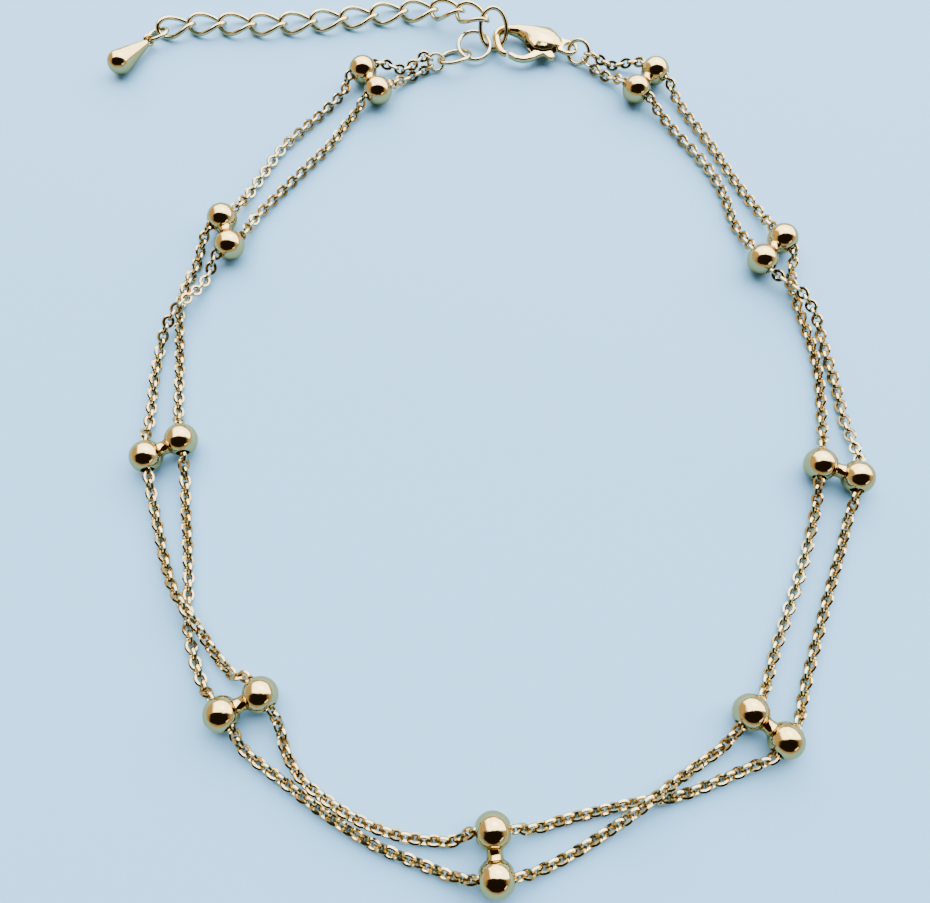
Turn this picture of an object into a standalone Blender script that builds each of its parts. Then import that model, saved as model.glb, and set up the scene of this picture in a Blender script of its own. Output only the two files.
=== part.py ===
"""Double-strand chain anklet with beads, fastened and lying flat.

Every length is in metres, +Z is up, and the long axis of the loop runs along Y. The two
chain strands are tubes along their own routes, the claw's lever turns on a pin, and every
ring and link passes through its neighbours without touching them.
"""
import math

import bmesh
import bpy
import numpy as np
from mathutils import Matrix, Vector

MM = 0.001

# Chain strands, each a tube of the chain's own width
STRAND_DIA = 1.0 * MM
STRAND_SPACING = 3.2 * MM
STRAND_END_TAPER = 0.6
END_LOOP_RADIUS = 0.5 * MM
END_LOOP_WIRE = 0.3 * MM
END_LOOP_SHIFT = 0.06 * MM

# Bead pairs
BEAD_DIA = 3.1 * MM
BEAD_PITCH = 3.48 * MM
BORE_DIA = 1.24 * MM
NECK_DIA = 1.36 * MM
NECK_SEAT = 0.33 * MM
BEAD_HEIGHT = BEAD_DIA / 2
BORE_RUN = 1.75 * MM

# Rings: centreline radius and wire
END_RING_RADIUS = 0.9 * MM
END_RING_WIRE = 0.35 * MM
COUPLING_RADIUS = 1.8 * MM
COUPLING_WIRE = 0.45 * MM
JUMP_RING_RADIUS = 1.25 * MM
JUMP_RING_WIRE = 0.45 * MM
DROP_RING_RADIUS = 1.3 * MM
DROP_RING_WIRE = 0.45 * MM

# Extender links, ovals twisted a quarter turn from end to end
LINK_HALF_LENGTH = 2.09 * MM
LINK_HALF_WIDTH = 1.3 * MM
LINK_WIRE = 0.5 * MM
LINK_TWIST = math.radians(-90.0)
CLASPED_HALF_LENGTH = 2.15 * MM
CLASPED_HALF_WIDTH = 1.5 * MM

# Claw, lying on its flat side
CLAW_MID = 1.1 * MM
EYELET_HOLE = 1.3 * MM
EYELET_RADIUS = 1.05 * MM
EYELET_THICK = 0.5 * MM
EYELET_CHAMFER = 0.12 * MM
HOOK_REACH_X = 1.15 * MM
HOOK_REACH_FAR = 1.3 * MM
HOOK_REACH_NEAR = 2.45 * MM
PIN_DIA = 0.5 * MM
PIN_SEAT = 0.25 * MM
SLOT_HEIGHT = 0.96 * MM

# Lever
LEVER_THICK = 0.7 * MM
LEVER_CHAMFER = 0.14 * MM
PIN_CLEARANCE = 0.12 * MM

# Drop
DROP_RADIUS = 1.35 * MM
DROP_TIP_RADIUS = 0.42 * MM
EYE_RADIUS = 0.5 * MM
EYE_WIRE = 0.4 * MM

# Mesh counts
RING_POINTS = 18
LINK_POINTS = 20
LOOP_POINTS = 12
WIRE_BEVEL_STEPS = 1
STRAND_BEVEL_STEPS = 2
BEAD_SIDES = 12
BEAD_RINGS = 8
DISC_POINTS = 16
BAR_SIDES = 14
SPLINE_STEPS = 12
DROP_BALL_STEPS = 5
DROP_FLANK_STEPS = 3
DROP_SIDES = 14
CUTTER_SIDES = 16
SHARP_ANGLE = math.radians(40.0)

# Route of strand a in mm, end ring to jump ring; a bead entry gives the pair and its side
ROUTE_A = [
    (-6.9, 46.35, 0.6), (-8.8, 46.55, 1.1), ("bead", 1, "outer"),
    (-13.4, 43.1, 0.9), (-15.2, 40.8, 0.55), (-17.6, 38.0, 0.55), (-20.0, 35.0, 0.55),
    (-21.6, 31.9, 0.55), (-23.0, 28.9, 0.7), ("bead", 2, "outer"),
    (-27.1, 22.8, 0.8), (-27.5, 20.3, 0.55), (-28.3, 17.9, 0.55), (-28.6, 15.6, 0.55),
    (-28.4, 13.2, 0.55), (-28.0, 10.0, 0.55), (-27.7, 6.6, 0.55), (-27.3, 3.3, 0.8),
    ("bead", 3, "inner"),
    (-26.0, -2.9, 0.8), (-25.6, -6.0, 0.55), (-25.0, -9.8, 0.55), (-24.6, -13.0, 0.55),
    (-24.3, -16.2, 0.55), (-23.5, -19.2, 0.55), (-22.3, -21.8, 0.85), ("bead", 4, "outer"),
    (-18.6, -26.8, 0.8), (-17.2, -28.0, 0.55), (-14.73, -29.68, 0.55), (-11.9, -31.64, 0.55),
    (-9.5, -33.14, 0.55), (-6.93, -34.47, 0.55), (-3.9, -35.6, 0.55), (-1.0, -36.6, 0.8),
    ("bead", 5, "outer"),
    (5.9, -36.2, 0.75), (8.6, -35.0, 0.55), (11.4, -33.4, 0.7), (13.3, -32.2, 1.4),
    (15.0, -31.0, 1.95), (16.8, -29.8, 1.4), (19.0, -28.4, 0.55), (21.3, -26.9, 0.8),
    ("bead", 6, "inner"),
    (25.8, -21.3, 0.8), (26.9, -18.7, 0.55), (28.5, -15.2, 0.55), (30.1, -11.6, 0.55),
    (31.4, -8.2, 0.55), (32.3, -5.2, 0.85), ("bead", 7, "inner"),
    (33.8, 1.5, 0.75), (34.15, 4.2, 0.55), (34.4, 7.6, 0.55), (34.2, 10.9, 0.55),
    (33.7, 13.8, 0.55), (33.35, 16.4, 0.55), (33.2, 19.4, 0.8), ("bead", 8, "outer"),
    (31.2, 26.1, 0.8), (30.1, 28.4, 0.55), (28.5, 31.6, 0.55), (27.1, 34.8, 0.55),
    (25.6, 37.8, 0.55), (24.1, 40.7, 0.55), (23.1, 42.9, 0.9), ("bead", 9, "outer"),
    (18.4, 46.9, 1.0), (16.5, 46.8, 0.7),
]

# Route of strand b in mm, lying on strand a where the two cross
ROUTE_B = [
    (-6.5, 44.95, 0.6), (-7.6, 44.2, 1.0), ("bead", 1, "inner"),
    (-11.6, 40.7, 0.9), (-13.5, 37.8, 0.55), (-14.6, 35.8, 0.55), (-17.4, 32.2, 0.55),
    (-20.1, 28.7, 0.55), (-22.1, 25.7, 0.8), ("bead", 2, "inner"),
    (-26.0, 19.4, 0.8), (-26.7, 17.7, 0.85), (-27.5, 16.2, 1.5), (-28.5, 14.4, 1.98),
    (-29.5, 12.7, 1.3), (-30.0, 10.7, 0.55), (-30.2, 7.6, 0.55), (-30.1, 4.6, 0.55),
    (-30.0, 1.9, 0.9), ("bead", 3, "outer"),
    (-28.8, -4.9, 0.75), (-28.0, -7.6, 0.55), (-27.0, -10.7, 0.6), (-25.8, -13.3, 1.35),
    (-24.45, -15.3, 1.9), (-23.1, -17.0, 1.35), (-21.7, -19.0, 0.55), (-19.7, -21.0, 0.9),
    ("bead", 4, "inner"),
    (-15.5, -25.3, 0.8), (-14.9, -27.2, 0.55), (-13.45, -29.3, 0.9), (-11.29, -30.95, 1.15),
    (-8.69, -32.45, 1.1), (-5.77, -33.52, 0.85), (-3.0, -34.0, 0.55), (-0.8, -34.0, 0.8),
    ("bead", 5, "inner"),
    (5.6, -33.1, 0.75), (8.2, -32.4, 0.55), (11.3, -31.7, 0.55), (14.2, -31.1, 0.55),
    (17.2, -30.7, 0.55), (20.3, -29.7, 0.55), (23.6, -28.4, 0.8), ("bead", 6, "outer"),
    (28.4, -23.5, 0.8), (29.4, -20.9, 0.55), (30.9, -17.1, 0.55), (32.4, -13.4, 0.55),
    (33.9, -9.8, 0.55), (35.1, -6.5, 0.85), ("bead", 7, "outer"),
    (36.6, 0.3, 0.8), (36.15, 3.0, 0.55), (35.95, 6.0, 0.55), (35.6, 9.0, 0.55),
    (35.25, 11.8, 0.65), (34.7, 14.3, 1.3), (33.55, 16.3, 1.9), (32.2, 17.9, 1.55),
    ("bead", 8, "inner"),
    (28.9, 23.5, 0.8), (28.1, 25.6, 0.55), (27.6, 28.3, 0.55), (26.7, 31.3, 0.55),
    (25.2, 34.2, 0.55), (23.3, 37.0, 0.55), (21.4, 39.9, 0.85), ("bead", 9, "inner"),
    (16.9, 44.6, 1.0), (15.7, 45.3, 0.7),
]

# Bead pairs: centre x and y in mm, heading from inner to outer bead, lean of the bores
BEAD_PAIRS = {
    1: (-10.50, 43.89, 120.6, 0.0),
    2: (-24.62, 23.85, 107.9, 26.0),
    3: (-28.05, -0.28, 208.9, -16.0),
    4: (-18.76, -23.47, 207.1, 12.0),
    5: (2.35, -35.01, -86.1, 0.0),
    6: (25.17, -25.24, -40.7, 0.0),
    7: (34.49, -2.53, -21.3, 8.0),
    8: (31.40, 21.71, 46.8, -15.0),
    9: (20.08, 43.92, 49.8, 0.0),
}

# Extender links 1 to 11: centre in mm and the way the long axis points
EXTENDER = [
    ((-33.3, 52.6, 0.78), (1.0, 0.22, 0.0)),
    ((-29.81, 53.01, 0.78), (1.0, 0.05, 0.0)),
    ((-26.29, 52.96, 0.78), (1.0, -0.01, 0.0)),
    ((-22.77, 52.96, 0.78), (1.0, 0.04, 0.0)),
    ((-19.26, 53.22, 0.78), (1.0, 0.1, 0.0)),
    ((-15.76, 53.63, 0.78), (1.0, 0.13, 0.0)),
    ((-12.28, 54.1, 0.78), (1.0, 0.15, 0.0)),
    ((-8.82, 54.74, 0.76), (1.0, 0.16, 0.0)),
    ((-5.34, 54.93, 0.9), (0.95, -0.01, 0.08)),
    ((-2.1, 54.15, 1.7), (0.88, -0.38, 0.28)),
    ((0.8, 52.51, 2.55), (0.8, -0.58, 0.15)),
]

# Link 12 and the rings: centre in mm, in-plane axis and normal
CLASPED_LINK = ((3.23, 51.09, 1.9), (-0.07, 0.65, 0.76), (0.15, -0.75, 0.65))
END_RING = ((-3.27, 47.06, 0.97), (0.98, 0.18, -0.11), (0.21, -0.78, 0.59))
COUPLING_RING = ((-1.22, 47.76, 1.05), (0.98, 0.18, 0.11), (-0.18, 0.42, 0.89))
CATCH_RING = ((1.06, 49.52, 0.99), (0.92, -0.38, -0.1), (0.03, -0.18, 0.98))
JUMP_RING = ((12.83, 48.3, 1.24), (0.88, -0.35, 0.33), (-0.48, -0.64, 0.6))
DROP_RING = ((-35.36, 51.36, 0.83), (0.92, -0.17, 0.35), (-0.28, 0.34, 0.9))
DROP_EYE = ((-36.1, 50.3, 1.0), (0.5, 0.85, 0.1), (0.75, -0.45, 0.4))

# Where the strand ends hang on the end ring and the jump ring, in degrees round the ring
END_RING_ANGLES = {"a": 148.0, "b": 212.0}
JUMP_RING_ANGLES = {"a": -10.0, "b": -48.0}

# Claw plan points in mm; its body runs from the tail to the hook through oval sections,
# each centre x and y, half width and half height
CLAW_BODY = [
    (11.0, 49.4, 0.45, 0.3), (10.6, 49.5, 1.0, 0.62), (10.0, 49.65, 1.6, 0.9),
    (9.3, 49.85, 2.0, 1.06), (8.6, 50.1, 2.05, 1.1), (7.9, 50.6, 1.6, 1.08),
    (7.2, 51.1, 1.1, 0.96), (6.2, 51.55, 0.76, 0.76),
]
EYELET_CENTRE = (11.8, 49.0)
EYELET_ROOT = (10.75, 49.5, 0.95)
HOOK_CENTRE = (4.75, 50.55)
HOOK_TIP_ANGLE = 268.0
HOOK_HALF = (0.5, 0.5)
HOOK_TIP_HALF = (0.34, 0.34)
HOOK_TAPER_START = 0.5
HOOK_STEPS = 12
SLOT = (6.9, 10.3, 46.4, 50.1)
PIVOT = (8.9, 48.75)

# Lever's outline in mm: discs from the pivot round its bow to the tip, and the thumb tab
LEVER_ARM = [(*PIVOT, 0.72), (7.6, 47.7, 0.46), (6.6, 47.32, 0.36), (5.8, 47.48, 0.33),
             (5.16, 47.92, 0.3)]
LEVER_TAB = (9.7, 47.65, 0.46)

# Drop plan points in mm
DROP_WIDE = (-38.8, 46.7, 1.35)
DROP_NARROW = (-36.3, 49.92, 0.97)

GOLD = (0.89, 0.72, 0.38, 1.0)
DARKER_GOLD = (0.84, 0.66, 0.33, 1.0)
GOLD_ROUGHNESS = 0.14


def clear_scene():
    for obj in list(bpy.data.objects):
        bpy.data.objects.remove(obj, do_unlink=True)


def give_material(obj, colour=GOLD):
    """Give an object its own polished metal."""
    material = bpy.data.materials.new(obj.name)
    material.use_nodes = True
    shader = material.node_tree.nodes["Principled BSDF"]
    shader.inputs["Base Color"].default_value = colour
    shader.inputs["Metallic"].default_value = 1.0
    shader.inputs["Roughness"].default_value = GOLD_ROUGHNESS
    obj.data.materials.append(material)


def unit(vector):
    vector = np.asarray(vector, dtype=float)
    return vector / np.linalg.norm(vector)


def pose(centre_mm, axis, normal):
    """World matrix with local X along axis, Z along normal and the origin at the centre."""
    x_axis = unit(axis)
    z_axis = np.asarray(normal, dtype=float)
    z_axis = unit(z_axis - z_axis.dot(x_axis) * x_axis)
    y_axis = np.cross(z_axis, x_axis)
    matrix = Matrix.Identity(4)
    for column, values in enumerate((x_axis, y_axis, z_axis, np.array(centre_mm) * MM)):
        for row in range(3):
            matrix[row][column] = float(values[row])
    return matrix


def tube_curve(name, points, diameter, closed, bevel=WIRE_BEVEL_STEPS, end_taper=1.0):
    """Round wire along a list of points."""
    curve = bpy.data.curves.new(name, "CURVE")
    curve.dimensions = "3D"
    curve.bevel_depth = diameter / 2
    curve.bevel_resolution = bevel
    curve.use_fill_caps = not closed
    spline = curve.splines.new("POLY")
    spline.points.add(len(points) - 1)
    spline.use_cyclic_u = closed
    spline.use_smooth = True
    for point, place in zip(spline.points, points):
        point.co = (place[0], place[1], place[2], 1.0)
    spline.points[0].radius = end_taper
    spline.points[-1].radius = end_taper
    obj = bpy.data.objects.new(name, curve)
    bpy.context.collection.objects.link(obj)
    return obj


def as_mesh(obj):
    """Turn a curve object into a mesh object of the same name."""
    name = obj.name
    mesh = bpy.data.meshes.new_from_object(obj)
    bpy.data.objects.remove(obj, do_unlink=True)
    return link_mesh(name, mesh)


def link_mesh(name, mesh):
    mesh.name = name
    obj = bpy.data.objects.new(name, mesh)
    bpy.context.collection.objects.link(obj)
    return obj


def finish_bmesh(name, bm):
    bmesh.ops.recalc_face_normals(bm, faces=bm.faces)
    mesh = bpy.data.meshes.new(name)
    bm.to_mesh(mesh)
    bm.free()
    return link_mesh(name, mesh)


def oval(half_length, half_width, twist, count):
    """Centreline of an oval link, its ends turned against each other by the twist."""
    points = []
    for step in range(count):
        turn = 2 * math.pi * step / count
        lean = twist / 2 * math.cos(turn)
        across = half_width * math.sin(turn)
        points.append((half_length * math.cos(turn), across * math.cos(lean),
                       across * math.sin(lean)))
    return points


def ring(name, radius, wire, placing, count=RING_POINTS):
    obj = tube_curve(name, oval(radius, radius, 0.0, count), wire, closed=True)
    obj.matrix_world = pose(*placing)
    return obj


def combine(name, base, operation, others):
    """Union or cut a base with other objects, leaving one mesh object."""
    base.name = name
    for other in others:
        modifier = base.modifiers.new(operation.lower(), "BOOLEAN")
        modifier.operation = operation
        modifier.solver = "EXACT"
        modifier.object = other
    bpy.context.view_layer.update()
    evaluated = base.evaluated_get(bpy.context.evaluated_depsgraph_get())
    mesh = bpy.data.meshes.new_from_object(evaluated)
    matrix = base.matrix_world.copy()
    for other in [base, *others]:
        bpy.data.objects.remove(other, do_unlink=True)
    result = link_mesh(name, mesh)
    result.matrix_world = matrix
    return result


def disc_points(x, y, radius, thick, chamfer):
    """Corner points of a chamfered disc lying in the claw's plane."""
    points = []
    for step in range(DISC_POINTS):
        turn = 2 * math.pi * step / DISC_POINTS
        cosine, sine = math.cos(turn), math.sin(turn)
        for reach, height in ((radius - chamfer, thick / 2), (radius, thick / 2 - chamfer)):
            for side in (-1, 1):
                points.append((x + reach * cosine, y + reach * sine, CLAW_MID + side * height))
    return points


def hull_of_discs(name, discs):
    """Convex body round chamfered discs, each x, y, radius, thickness and chamfer."""
    bm = bmesh.new()
    for disc in discs:
        for place in disc_points(*disc):
            bm.verts.new(place)
    result = bmesh.ops.convex_hull(bm, input=bm.verts)
    unused = set(result["geom_interior"]) | set(result["geom_unused"])
    bmesh.ops.delete(bm, geom=list(unused), context="VERTS")
    return finish_bmesh(name, bm)


def upright_cylinder(name, x, y, diameter, bottom, top):
    bm = bmesh.new()
    bmesh.ops.create_cone(bm, cap_ends=True, segments=CUTTER_SIDES, radius1=diameter / 2,
                          radius2=diameter / 2, depth=top - bottom)
    obj = finish_bmesh(name, bm)
    obj.location = (x, y, (top + bottom) / 2)
    return obj


def box(name, x_range, y_range, z_range):
    bm = bmesh.new()
    bmesh.ops.create_cube(bm, size=1.0)
    spans = [high - low for low, high in (x_range, y_range, z_range)]
    bmesh.ops.scale(bm, vec=spans, verts=bm.verts)
    obj = finish_bmesh(name, bm)
    obj.location = [(high + low) / 2 for low, high in (x_range, y_range, z_range)]
    return obj


def loft(name, sections):
    """Bar through oval sections, each centre x and y, half width and half height."""
    bm = bmesh.new()
    loops = []
    for index, (x, y, half_width, half_height) in enumerate(sections):
        before = sections[max(index - 1, 0)]
        after = sections[min(index + 1, len(sections) - 1)]
        along = Vector((after[0] - before[0], after[1] - before[1], 0.0)).normalized()
        across = Vector((-along.y, along.x, 0.0))
        corners = []
        for step in range(BAR_SIDES):
            turn = 2 * math.pi * (step + 0.5) / BAR_SIDES
            place = Vector((x, y, CLAW_MID)) + across * (half_width * math.cos(turn))
            place.z += half_height * math.sin(turn)
            corners.append(bm.verts.new(place))
        loops.append(corners)
    for first, second in zip(loops, loops[1:]):
        for step in range(BAR_SIDES):
            nxt = (step + 1) % BAR_SIDES
            bm.faces.new((first[step], first[nxt], second[nxt], second[step]))
    bm.faces.new(loops[0])
    bm.faces.new(loops[-1])
    return finish_bmesh(name, bm)


def turned(name, profile, sides, closed):
    """Body of revolution about local X from (along, radius) points; ends may lie on the axis."""
    bm = bmesh.new()
    loops = []
    for along, radius in profile:
        if radius == 0.0:
            loops.append([bm.verts.new((along, 0.0, 0.0))] * sides)
            continue
        angles = [2 * math.pi * (step + 0.5) / sides for step in range(sides)]
        loops.append([bm.verts.new((along, radius * math.cos(a), radius * math.sin(a)))
                      for a in angles])
    pairs = list(zip(loops, loops[1:]))
    if closed:
        pairs.append((loops[-1], loops[0]))
    for first, second in pairs:
        for step in range(sides):
            nxt = (step + 1) % sides
            corners = []
            for corner in (first[step], first[nxt], second[nxt], second[step]):
                if corner not in corners:
                    corners.append(corner)
            bm.faces.new(corners)
    return finish_bmesh(name, bm)


def bead(name):
    """Drilled bead, bored along local X."""
    mouth = math.asin(BORE_DIA / BEAD_DIA)
    profile = []
    for step in range(BEAD_RINGS + 1):
        turn = mouth + (math.pi - 2 * mouth) * step / BEAD_RINGS
        profile.append((BEAD_DIA / 2 * math.cos(turn), BEAD_DIA / 2 * math.sin(turn)))
    return turned(name, profile, BEAD_SIDES, closed=True)


def bead_pair(number):
    """Two drilled beads joined by a solder neck; local Y points from inner to outer bead."""
    x, y, heading, lean = BEAD_PAIRS[number]
    beads = []
    for side in (-1, 1):
        one = bead(f"bead_{number}_{side}")
        one.rotation_euler.z = math.radians(lean)
        one.location.y = side * BEAD_PITCH / 2
        beads.append(one)
    neck_half = BEAD_PITCH / 2 - BEAD_DIA / 2 + NECK_SEAT
    profile = [(-neck_half, 0.0), (-neck_half, NECK_DIA / 2), (neck_half, NECK_DIA / 2),
               (neck_half, 0.0)]
    neck = turned(f"neck_{number}", profile, BEAD_SIDES, closed=False)
    neck.rotation_euler.z = math.pi / 2
    pair = combine(f"bead_pair_{number}", neck, "UNION", beads)
    pair.matrix_world = Matrix.Identity(4)
    pair.data.transform(Matrix.Rotation(math.pi / 2, 4, "Z"))
    pair.location = (x * MM, y * MM, BEAD_HEIGHT)
    pair.rotation_euler.z = math.radians(heading) - math.pi / 2
    return pair


def bead_run(number, side):
    """Where a strand enters and leaves a bead: two points on the axis of its bore."""
    x, y, heading, lean = BEAD_PAIRS[number]
    turn = math.radians(heading)
    reach = BEAD_PITCH / 2 if side == "outer" else -BEAD_PITCH / 2
    centre = np.array([x * MM + reach * math.cos(turn), y * MM + reach * math.sin(turn),
                       BEAD_HEIGHT])
    bore = math.radians(heading + lean) + math.pi / 2
    along = np.array([math.cos(bore), math.sin(bore), 0.0]) * BORE_RUN
    return centre - along, centre + along


def route_points(route, start, end):
    """Control points of a strand in metres, and the indices where a bore begins."""
    points = [np.array(start)]
    bores = []
    for entry in route:
        if entry[0] == "bead":
            first, second = bead_run(entry[1], entry[2])
            previous = points[-1]
            if np.linalg.norm(second - previous) < np.linalg.norm(first - previous):
                first, second = second, first
            bores.append(len(points))
            points.extend([first, second])
        else:
            points.append(np.array(entry) * MM)
    points.append(np.array(end))
    return points, bores


def smooth_span(points, first, last):
    """Fine points of a centripetal spline through points[first] to points[last]."""
    fine = [points[first]]
    for index in range(first, last):
        here, there = points[index], points[index + 1]
        before = points[index - 1] if index else 2 * here - there
        after = points[index + 2] if index + 2 < len(points) else 2 * there - here
        knots = [math.sqrt(np.linalg.norm(b - a))
                 for a, b in ((before, here), (here, there), (there, after))]
        leaving = knots[1] * ((here - before) / knots[0] - (there - before) / (knots[0] + knots[1])
                              + (there - here) / knots[1])
        arriving = knots[1] * ((there - here) / knots[1] - (after - here) / (knots[1] + knots[2])
                               + (after - there) / knots[2])
        for step in range(1, SPLINE_STEPS + 1):
            t = step / SPLINE_STEPS
            fine.append((2 * t ** 3 - 3 * t ** 2 + 1) * here + (t ** 3 - 2 * t ** 2 + t) * leaving
                        + (3 * t ** 2 - 2 * t ** 3) * there + (t ** 3 - t ** 2) * arriving)
    return np.array(fine)


def spaced_route(points, bores):
    """Evenly spaced points along each stretch between two bores, straight through each bore."""
    cuts = [0] + [index for bore in bores for index in (bore, bore + 1)] + [len(points) - 1]
    spaced = []
    for first, last in zip(cuts[::2], cuts[1::2]):
        fine = smooth_span(points, first, last)
        steps = np.linalg.norm(np.diff(fine, axis=0), axis=1)
        lengths = np.concatenate([[0.0], np.cumsum(steps)])
        count = max(1, math.ceil(lengths[-1] / STRAND_SPACING))
        places = np.linspace(0.0, lengths[-1], count + 1)
        spaced.extend(np.stack([np.interp(places, lengths, fine[:, axis])
                                for axis in range(3)], axis=1))
    return spaced


def end_loop(name, placing, radius, angle):
    """Small loop of a strand round a ring's wire, and the point where the strand meets it."""
    matrix = pose(*placing)
    turn = math.radians(angle)
    outward = matrix.to_3x3() @ Vector((math.cos(turn), math.sin(turn), 0.0))
    tangent = matrix.to_3x3() @ Vector((-math.sin(turn), math.cos(turn), 0.0))
    centre = matrix.translation + outward * (radius + END_LOOP_SHIFT)
    placing = (centre / MM, outward, tangent)
    loop = ring(name, END_LOOP_RADIUS, END_LOOP_WIRE, placing, LOOP_POINTS)
    matrix = loop.matrix_world.copy()
    loop = as_mesh(loop)
    loop.matrix_world = matrix
    return loop, centre + outward * END_LOOP_RADIUS


def chain_strand(letter, route):
    """One chain strand with a loop at each end."""
    left, start = end_loop(f"loop_left_{letter}", END_RING, END_RING_RADIUS,
                           END_RING_ANGLES[letter])
    right, end = end_loop(f"loop_right_{letter}", JUMP_RING, JUMP_RING_RADIUS,
                          JUMP_RING_ANGLES[letter])
    points = spaced_route(*route_points(route, start, end))
    tube = tube_curve(f"strand_{letter}", points, STRAND_DIA, closed=False, bevel=STRAND_BEVEL_STEPS,
                      end_taper=STRAND_END_TAPER)
    return combine(f"strand_{letter}", as_mesh(tube), "UNION", [left, right])


def hook_sections():
    """Oval sections round the hook, from the far side to its tip, narrowing near the tip."""
    sections = []
    for step in range(HOOK_STEPS + 1):
        share = step / HOOK_STEPS
        turn = math.radians(90 + (HOOK_TIP_ANGLE - 90) * share)
        taper = max(0.0, share - HOOK_TAPER_START) / (1 - HOOK_TAPER_START)
        half = [(body + (tip - body) * taper) * MM for body, tip in zip(HOOK_HALF, HOOK_TIP_HALF)]
        reach = HOOK_REACH_FAR if turn < math.pi else HOOK_REACH_NEAR
        sections.append((HOOK_CENTRE[0] * MM + HOOK_REACH_X * math.cos(turn),
                         HOOK_CENTRE[1] * MM + reach * math.sin(turn), *half))
    return sections


def claw():
    """Hook, base, tail, eyelet and pin as one soldered body."""
    sections = [tuple(value * MM for value in section) for section in CLAW_BODY]
    body = loft("claw_body", sections + hook_sections())
    eyelet = hull_of_discs("claw_eyelet", [
        (EYELET_ROOT[0] * MM, EYELET_ROOT[1] * MM, EYELET_ROOT[2] * MM, EYELET_THICK,
         EYELET_CHAMFER),
        (EYELET_CENTRE[0] * MM, EYELET_CENTRE[1] * MM, EYELET_RADIUS, EYELET_THICK,
         EYELET_CHAMFER)])
    body = combine("claw_whole", body, "UNION", [eyelet])
    top = 2 * CLAW_MID
    hole = upright_cylinder("claw_hole", EYELET_CENTRE[0] * MM, EYELET_CENTRE[1] * MM,
                            EYELET_HOLE, 0.0, top)
    slot = box("claw_slot", [value * MM for value in SLOT[:2]], [value * MM for value in SLOT[2:]],
               (CLAW_MID - SLOT_HEIGHT / 2, CLAW_MID + SLOT_HEIGHT / 2))
    body = combine("claw_cut", body, "DIFFERENCE", [hole, slot])
    pin = upright_cylinder("claw_pin", PIVOT[0] * MM, PIVOT[1] * MM, PIN_DIA, PIN_SEAT,
                           top - PIN_SEAT)
    return combine("claw", body, "UNION", [pin])


def claw_lever():
    """Bowed lever arm and thumb tab round the pin, with its origin on the pin's axis."""
    arm = [(x * MM, y * MM, radius * MM, LEVER_THICK, LEVER_CHAMFER)
           for x, y, radius in [LEVER_TAB, *LEVER_ARM]]
    parts = [hull_of_discs(f"lever_{number}", pair) for number, pair in enumerate(zip(arm, arm[1:]))]
    body = combine("lever_body", parts[0], "UNION", parts[1:])
    hole = upright_cylinder("lever_hole", PIVOT[0] * MM, PIVOT[1] * MM,
                            PIN_DIA + 2 * PIN_CLEARANCE, 0.0, 2 * CLAW_MID)
    lever = combine("claw_lever", body, "DIFFERENCE", [hole])
    origin = Vector((PIVOT[0] * MM, PIVOT[1] * MM, CLAW_MID))
    lever.data.transform(Matrix.Translation(-origin))
    lever.location = origin
    return lever


def drop():
    """Rounded teardrop with its eye, lying on its side."""
    wide = Vector(DROP_WIDE) * MM
    narrow = Vector(DROP_NARROW) * MM
    length = (narrow - wide).length
    lean = math.asin((DROP_RADIUS - DROP_TIP_RADIUS) / length)
    profile = [(-DROP_RADIUS, 0.0)]
    for step in range(1, DROP_BALL_STEPS + 1):
        turn = math.pi - (math.pi / 2 + lean) * step / DROP_BALL_STEPS
        profile.append((DROP_RADIUS * math.cos(turn), DROP_RADIUS * math.sin(turn)))
    for step in range(1, DROP_FLANK_STEPS + 1):
        share = step / DROP_FLANK_STEPS
        radius = DROP_RADIUS + (DROP_TIP_RADIUS - DROP_RADIUS) * share
        start = DROP_RADIUS * math.sin(lean)
        profile.append((start + (length - start) * share, radius * math.cos(lean)))
    profile.append((length + DROP_TIP_RADIUS / 3, 0.0))
    body = turned("drop_body", profile, DROP_SIDES, closed=False)
    body.matrix_world = pose(DROP_WIDE, narrow - wide, (0.0, 0.0, 1.0))
    body.data.transform(body.matrix_world)
    body.matrix_world = Matrix.Identity(4)
    eye = ring("drop_eye", EYE_RADIUS, EYE_WIRE, DROP_EYE, LOOP_POINTS)
    matrix = eye.matrix_world.copy()
    eye = as_mesh(eye)
    eye.matrix_world = matrix
    return combine("drop", body, "UNION", [eye])


def extender_links():
    """Links 1 to 11 of the extender, and link 12, which the claw holds."""
    links = []
    for number, (centre, axis) in enumerate(EXTENDER, start=1):
        points = oval(LINK_HALF_LENGTH, LINK_HALF_WIDTH, LINK_TWIST, LINK_POINTS)
        link = tube_curve(f"extender_link_{number}", points, LINK_WIRE, closed=True)
        link.matrix_world = pose(centre, axis, (0.0, 0.0, 1.0))
        links.append(link)
    points = oval(CLASPED_HALF_LENGTH, CLASPED_HALF_WIDTH, 0.0, LINK_POINTS)
    clasped = tube_curve("extender_link_12", points, LINK_WIRE, closed=True)
    clasped.matrix_world = pose(*CLASPED_LINK)
    return links + [clasped]


def settle_on_origin(objects):
    """Move everything together so that the bounding box stands centred on the origin."""
    bpy.context.view_layer.update()
    corners = []
    graph = bpy.context.evaluated_depsgraph_get()
    for obj in objects:
        mesh = obj.evaluated_get(graph).to_mesh()
        corners.extend(obj.matrix_world @ vertex.co for vertex in mesh.vertices)
    low = [min(corner[axis] for corner in corners) for axis in range(3)]
    high = [max(corner[axis] for corner in corners) for axis in range(3)]
    shift = Vector((-(low[0] + high[0]) / 2, -(low[1] + high[1]) / 2, -low[2]))
    for obj in objects:
        obj.location += shift


def shade(obj):
    """Smooth shading with crisp corners."""
    if obj.type != "MESH":
        return
    obj.data.shade_smooth()
    obj.data.set_sharp_from_angle(angle=SHARP_ANGLE)


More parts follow.
